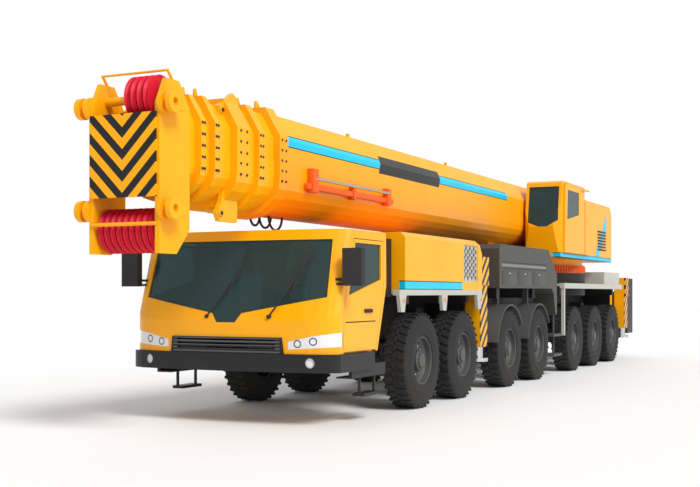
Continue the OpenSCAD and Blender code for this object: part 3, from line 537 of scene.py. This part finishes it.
NODE_FINISH = {
    "chassis_frame": "dark", "axle_beams": "iron", "engine_block": "iron", "cab_shell": "body",
    "cab_interior": "trim", "front_bumper": "bumper", "lamps": "lamp", "mirrors": "trim",
    "engine_hood": "hood", "decks_and_fenders": "rail", "side_panels": "panel", "slew_ring": "ring",
    "cab_door_left": "body",
    "cab_door_right": "body", "turntable": "turntable", "rear_hood": "rear", "operator_cab": "body",
    "operator_seat": "trim", "operator_door": "body", "boom_base": "boom", "boom_head": "head",
    "lower_sheaves": "sheave", "upper_sheave": "sheave", "luff_barrel": "dark", "luff_rod": "bright",
}
STEM_FINISH = {"knuckle": "iron", "wheel": "tyre", "beam": "beam", "jack": "bright", "boom": "body"}


class CRANE_OT_paint(bpy.types.Operator):
    """Give every part of the frame its finish"""

    bl_idname = "crane.paint"
    bl_label = "Paint the frame"

    def execute(self, context):
        finishes = crane_materials()
        for name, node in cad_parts.items():
            stem = STEM_FINISH.get(name.split("_")[0])
            finish = "glass" if name in GLASS_NODES else NODE_FINISH.get(name, stem)
            node.data.materials.clear()
            node.data.materials.append(finishes[finish])
        return {"FINISHED"}


def tyre(size, rubber):
    """The carcass, two rows of slanted lugs and a row of middle blocks."""
    r, w, k = size.tyre_radius, size.tyre_half, size.rim_radius
    half = [
        (k, w - 0.035), (k + 0.02, w - 0.012), (k + 0.1, w - 0.001), (k + 0.15, w), (k + 0.16, w - 0.006),
        (k + 0.23, w - 0.01), (r - 0.05, w - 0.022), (r - 0.022, w - 0.045), (r - 0.018, w - 0.1),
    ]
    profile = half + [(p, -y) for p, y in reversed(half)]
    profile += [(k - 0.02, -w + 0.06), (k - 0.02, w - 0.06), profile[0]]
    parts = [lathe(profile, 56, rubber, closed=True)]
    for side, lead in ((1, 0), (-1, math.pi / size.lugs)):
        near, far = sorted((side * 0.03, side * (w - 0.018)))
        slant = (side * 0.3, "Z", (0, side * w / 2, r))
        block((-0.024, near, r - 0.03), (0.024, far, r), 0.006, rubber, slant)
        open_mesh()
        bpy.ops.transform.rotate(value=lead, orient_axis="Y", center_override=(0, 0, 0))
        ring(size.lugs, (0, 0, 0), (0, 1, 0))
        parts.append(close_mesh(rubber))
    parts.append(block((-0.04, -0.022, r - 0.03), (0.04, 0.022, r - 0.002), 0.005, rubber,
                       copies=(size.lugs, (0, 0, 0), (0, 1, 0))))
    return parts


def rim(size, finishes):
    """The dished disc with its hub, wheel nuts, hub bolts and dark vents."""
    w, k = size.tyre_half, size.rim_radius
    profile = [
        (k - 0.02, -w + 0.04), (k + 0.002, -w + 0.03), (k + 0.002, 0.1),
        (k + 0.004, w - 0.03), (k - 0.008, w - 0.022), (k - 0.02, w - 0.03), (k - 0.03, 0.09),
        (k - 0.07, 0.055), (0.235, 0.045), (0.165, 0.05), (0.155, 0.06), (0.15, 0.13),
        (0.138, 0.142), (0.108, 0.143), (0.104, 0.162), (0.09, 0.167), (0.03, 0.168),
    ]
    parts = [lathe(profile, 56, finishes["rim"])]
    for place, low, high, radius, finish, sides, count in (
        (0.2, 0.04, 0.078, 0.016, "bright", 6, size.rim_bolts),
        (0.124, 0.135, 0.152, 0.009, "iron", 6, 10),
        (0.285, 0.03, 0.06, 0.028, "dark", 16, 8),
    ):
        parts.append(rod((place, low, 0), (place, high, 0), radius, finishes[finish], sides,
                         (count, (0, 0, 0), (0, 1, 0))))
    return parts


class CRANE_OT_wheels(bpy.types.Operator):
    """Turn a treaded tyre on a bolted rim and set it on every axle"""

    bl_idname = "crane.wheels"
    bl_label = "Wheels"

    def execute(self, context):
        size = context.scene.crane_sizes
        finishes = crane_materials()
        pattern = merged(tyre(size, finishes["tyre"]) + rim(size, finishes))
        for number, x in enumerate(AXLES, 1):
            for name, side in SIDES:
                merged([pattern])
                bpy.ops.object.duplicate()
                wheel = context.object
                low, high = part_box(f"wheel_{number}_{name}")
                wheel.rotation_euler = (0, 0.35 * number, 0 if side > 0 else math.pi)
                wheel.location = (x, side * WHEEL_MIDDLE, (low.z + high.z) / 2)
                bpy.ops.object.transform_apply(location=True, rotation=True, scale=True)
                joined([wheel], f"treaded_wheel_{number}_{name}", f"wheel_{number}_{name}")
                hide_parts(f"wheel_{number}_{name}")
        bpy.data.objects.remove(pattern)
        return {"FINISHED"}


class CRANE_OT_boom_trim(bpy.types.Operator):
    """Add the side bracket, the hose loops and the lug caps of the boom"""

    bl_idname = "crane.boom_trim"
    bl_label = "Boom trim"

    def execute(self, context):
        finishes = crane_materials()
        root = BOOM_FLANK - 0.005
        bars = [
            block((3.95, root, 3.02), (6.75, 0.63, 3.1), 0.012, finishes["ring"]),
            block((4.1, root, 2.98), (4.22, 0.66, 3.24), 0.012, finishes["ring"]),
            block((5.3, root, 2.98), (5.4, 0.65, 3.2), 0.012, finishes["ring"]),
            block((6.5, root, 2.98), (6.66, 0.66, 3.3), 0.012, finishes["ring"]),
            rod((4.16, 0.64, 3.17), (6.6, 0.64, 3.17), 0.022, finishes["bright"]),
        ]
        joined(bars, "boom_side_bracket", "boom_base")
        loops = []
        for i in range(3):
            centre = (6.9 - 0.1 * i, 0.1 * i - 0.1, BOOM_BELLY)
            loops.append(hanging_loop(centre, 0.12 + 0.03 * i, 0.016, finishes["trim"]))
        joined(loops, "boom_hose_loops", "boom_base")
        caps = []
        for _, side in SIDES:
            near, far = side * (LUFF_LUG_FACE - 0.004), side * (LUFF_LUG_FACE + 0.02)
            caps.append(rod((LUFF_EYE_X, near, LUFF_EYE_Z), (LUFF_EYE_X, far, LUFF_EYE_Z), 0.085,
                            finishes["iron"], 24))
        joined(caps, "luff_pin_caps", "boom_base")
        return {"FINISHED"}


def lug_bosses(front, side, finishes):
    """The bosses on the lugs of the big collar, and the pins in them."""
    bosses, pins = [], []
    for x, z in ((front + 0.06, 3.815), (front + 0.085, 2.595)):
        bosses.append(rod((x, side * 0.397, z), (x, side * 0.418, z), 0.046, finishes["body"], 28))
        pins.append(rod((x, side * 0.4, z), (x, side * 0.43, z), 0.026, finishes["iron"], 20))
    return bosses, pins


def collar_fin(front, depth, top, side, paint):
    """A tapered fin on top of a collar."""
    back = front - min(0.9 * depth, 0.17)
    outline = [
        (back, top - 0.008), (front - 0.01, top - 0.008),
        (front - 0.025, top + 0.09), (front - 0.055, top + 0.1),
    ]
    return side_plate(outline, side * 0.23, side * 0.26, 0.005, paint)


class CRANE_OT_collar_trim(bpy.types.Operator):
    """Bolt the wear pads on the boom collars and add their fins and pin bosses"""

    bl_idname = "crane.collar_trim"
    bl_label = "Collar trim"

    def execute(self, context):
        radius = context.scene.crane_sizes.bolt_radius
        finishes = crane_materials()
        for body, depth in COLLAR_DEPTHS.items():
            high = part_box(body)[1]
            lugged = body == "boom_section_3"
            front = high.x - COLLAR_LUG_REACH if lugged else high.x
            top = BASE_COLLAR_TOP if body == "boom_base" else high.z
            bolts, plates = [], []
            for side in (-1, 1):
                y = side * high.y
                for i in range(5):
                    z = 3.06 + 0.13 * i
                    for x in (front - 0.27 * depth, front - 0.73 * depth):
                        bolts.append(rod((x, y - side * 0.01, z), (x, y + side * 0.012, z), radius,
                                         finishes["iron"], 6))
                if lugged:
                    bosses, pins = lug_bosses(front, side, finishes)
                    plates += bosses
                    bolts += pins
                else:
                    plates.append(collar_fin(front, depth, top, side, finishes["body"]))
            joined(bolts, f"collar_bolts_{body}", body)
            joined(plates, f"collar_fins_{body}", body)
        return {"FINISHED"}


class CRANE_OT_ring_teeth(bpy.types.Operator):
    """Cut the teeth of the slewing ring"""

    bl_idname = "crane.ring_teeth"
    bl_label = "Slewing ring teeth"

    def execute(self, context):
        count = context.scene.crane_sizes.ring_teeth
        x = RING_CENTRE[0]
        tooth = block((x - 0.018, 1.225, 2.12), (x + 0.018, 1.262, 2.25), 0.008, crane_materials()["ring"],
                      copies=(count, RING_CENTRE, (0, 0, 1)))
        joined([tooth], "slew_ring_teeth", "carrier")
        return {"FINISHED"}


class CRANE_OT_cab_trim(bpy.types.Operator):
    """Add the wipers, door handles and door creases of the cab"""

    bl_idname = "crane.cab_trim"
    bl_label = "Cab trim"

    def execute(self, context):
        finishes = crane_materials()
        arms = []
        for y in (0.62, -0.28):
            foot = Vector((7.79, y, 1.36))
            tip = Vector((7.82 - 0.62 * WINDSCREEN_LEAN, y + 0.38, 1.92))
            arms.append(rod(foot, tip, 0.011, finishes["trim"], 8))
            arms.append(rod(tip + Vector((0.11, -0.1, -0.3)), tip + Vector((-0.08, 0.04, 0.22)), 0.009,
                            finishes["trim"], 6))
            arms.append(rod(foot - Vector((0.05, 0, 0)), foot + Vector((0.012, 0, 0)), 0.026,
                            finishes["trim"], 12))
        joined(arms, "cab_wipers", "carrier")
        for name, side in SIDES:
            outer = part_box(f"cab_door_{name}")[side > 0].y
            near, far = sorted((outer - side * 0.01, outer + side * 0.026))
            handle = block((6.62, near, 1.4), (6.84, far, 1.45), 0.01, finishes["trim"])
            outline = [(6.5, 1.283), (7.38, 1.283), (7.38, 1.297), (6.5, 1.297)]
            crease = side_plate(outline, outer - side * 0.004, outer + side * 0.004, 0.0015, finishes["dark"])
            joined([handle, crease], f"door_handle_{name}", f"cab_door_{name}")
        return {"FINISHED"}


class CRANE_OT_panel_trim(bpy.types.Operator):
    """Add raised lids with latches to the side boxes and louvres to the rear hood"""

    bl_idname = "crane.panel_trim"
    bl_label = "Panel trim"

    def execute(self, context):
        finishes = crane_materials()
        lids, slats = [], []
        for side in (1, -1):
            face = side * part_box("side_panels")[1].y
            for x in (-1.42, -0.5, 0.42):
                outline = [(x, 1.8), (x + 0.82, 1.8), (x + 0.82, 2.05), (x, 2.05)]
                lids.append(side_plate(outline, face - side * 0.004, face + side * 0.006, 0.002,
                                       finishes["panel"]))
                near, far = sorted((face, face + side * 0.016))
                lids.append(block((x + 0.38, near, 1.985), (x + 0.46, far, 2.015), 0.005,
                                  finishes["bright"]))
            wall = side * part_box("rear_hood")[1].y
            for i in range(7):
                near, far = sorted((wall - side * 0.004, wall + side * 0.014))
                z = 2.66 + 0.07 * i
                slats.append(block((-7.1, near, z), (-6.3, far, z + 0.035), 0.005, finishes["dark"],
                                   (side * 0.25, "X", (-6.7, wall, z))))
        joined(lids, "side_panel_lids", "carrier")
        joined(slats, "rear_hood_louvres", "upper_works")
        return {"FINISHED"}


class CRANE_OT_head_guards(bpy.types.Operator):
    """Add the rope guards between the plates of the boom head"""

    bl_idname = "crane.head_guards"
    bl_label = "Head guards"

    def execute(self, context):
        finishes = crane_materials()
        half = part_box("boom_head")[1].y - 0.2
        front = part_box("lower_sheaves")[1].x + 0.03
        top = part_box("upper_sheave")[1].z + 0.035
        bars = [rod((x, -half, z), (x, half, z), radius, finishes["body"], 14)
                for x, z, radius in ((front, 2.4, 0.022), (9.33, 3.72, 0.02), (9.66, top, 0.014))]
        for _, side in SIDES:
            y = side * half
            bars.append(rod((9.54, y, 3.95), (9.664, y, top + 0.008), 0.016, finishes["body"], 14))
        joined(bars, "head_rope_guards", "boom_head")
        return {"FINISHED"}


class CRANE_OT_stage(bpy.types.Operator):
    """Set the pale floor, white surroundings, soft lights and camera"""

    bl_idname = "crane.stage"
    bl_label = "Studio"

    def execute(self, context):
        scene = context.scene
        clear_selection()
        bpy.ops.mesh.primitive_plane_add(size=400, location=(0, 0, 0))
        open_mesh()
        bpy.ops.mesh.subdivide(number_cuts=4)
        floor_paint = bpy.data.materials.new("studio_floor")
        floor_paint.use_nodes = True
        shader = floor_paint.node_tree.nodes["Principled BSDF"]
        shader.inputs["Base Color"].default_value = (0.9, 0.9, 0.9, 1.0)
        shader.inputs["Roughness"].default_value = 0.85
        floor = close_mesh(floor_paint)
        floor.name = "studio_floor"
        world = bpy.data.worlds.new("studio")
        scene.world = world
        world.use_nodes = True
        tree = world.node_tree
        path = tree.nodes.new("ShaderNodeLightPath").outputs
        seen = calc(tree, "MAXIMUM", path["Is Camera Ray"], path["Is Transmission Ray"])
        seen = calc(tree, "MAXIMUM", seen, calc(tree, "MULTIPLY", path["Is Glossy Ray"], 0.4))
        background = tree.nodes["Background"]
        background.inputs["Color"].default_value = (1.0, 1.0, 1.0, 1.0)
        tree.links.new(calc(tree, "MULTIPLY_ADD", seen, 0.55, 0.45), background.inputs["Strength"])
        for name, turn, energy, spread in STUDIO_LIGHTS:
            bpy.ops.object.light_add(type="SUN", location=(0, 0, 12), rotation=turn)
            lamp = context.object
            lamp.name = f"studio_{name}"
            lamp.data.energy = energy
            lamp.data.angle = math.radians(spread)
        facing = Vector(CAMERA_AIM).to_track_quat("-Z", "Y").to_euler()
        bpy.ops.object.camera_add(location=CAMERA_PLACE, rotation=facing)
        camera = context.object
        camera.name = "studio_camera"
        camera.data.lens = CAMERA_LENS
        camera.data.sensor_width = 36.0
        camera.data.shift_y = CAMERA_RISE
        camera.data.clip_end = 500.0
        scene.camera = camera
        scene.view_settings.view_transform = "Standard"
        return {"FINISHED"}


STEPS = (CRANE_OT_paint, CRANE_OT_wheels, CRANE_OT_boom_trim, CRANE_OT_collar_trim, CRANE_OT_ring_teeth,
         CRANE_OT_cab_trim, CRANE_OT_panel_trim, CRANE_OT_head_guards, CRANE_OT_stage)


class CRANE_PT_tools(bpy.types.Panel):
    """Sidebar panel with the crane's steps and settings"""

    bl_idname = "CRANE_PT_tools"
    bl_label = "Crane looks"
    bl_space_type = "VIEW_3D"
    bl_region_type = "UI"
    bl_category = "Crane"

    def draw(self, context):
        scene = context.scene
        for group, kind in ((scene.crane_colours, CraneColours), (scene.crane_sizes, CraneSizes)):
            for name in kind.__annotations__:
                self.layout.prop(group, name)
        for step in STEPS:
            self.layout.operator(step.bl_idname)


CLASSES = (CraneColours, CraneSizes, *STEPS, CRANE_PT_tools)


def register():
    """Adds the classes and the scene's settings."""
    for kind in CLASSES:
        bpy.utils.register_class(kind)
    bpy.types.Scene.crane_colours = bpy.props.PointerProperty(type=CraneColours)
    bpy.types.Scene.crane_sizes = bpy.props.PointerProperty(type=CraneSizes)


def unregister():
    """Removes the classes and the scene's settings."""
    del bpy.types.Scene.crane_sizes
    del bpy.types.Scene.crane_colours
    for kind in reversed(CLASSES):
        bpy.utils.unregister_class(kind)


def main():
    """Builds the looks in order."""
    register()
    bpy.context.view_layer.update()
    bpy.ops.crane.paint()
    bpy.ops.crane.wheels()
    bpy.ops.crane.boom_trim()
    bpy.ops.crane.collar_trim()
    bpy.ops.crane.ring_teeth()
    bpy.ops.crane.cab_trim()
    bpy.ops.crane.panel_trim()
    bpy.ops.crane.head_guards()
    bpy.ops.crane.stage()


if __name__ == "__main__":
    main()
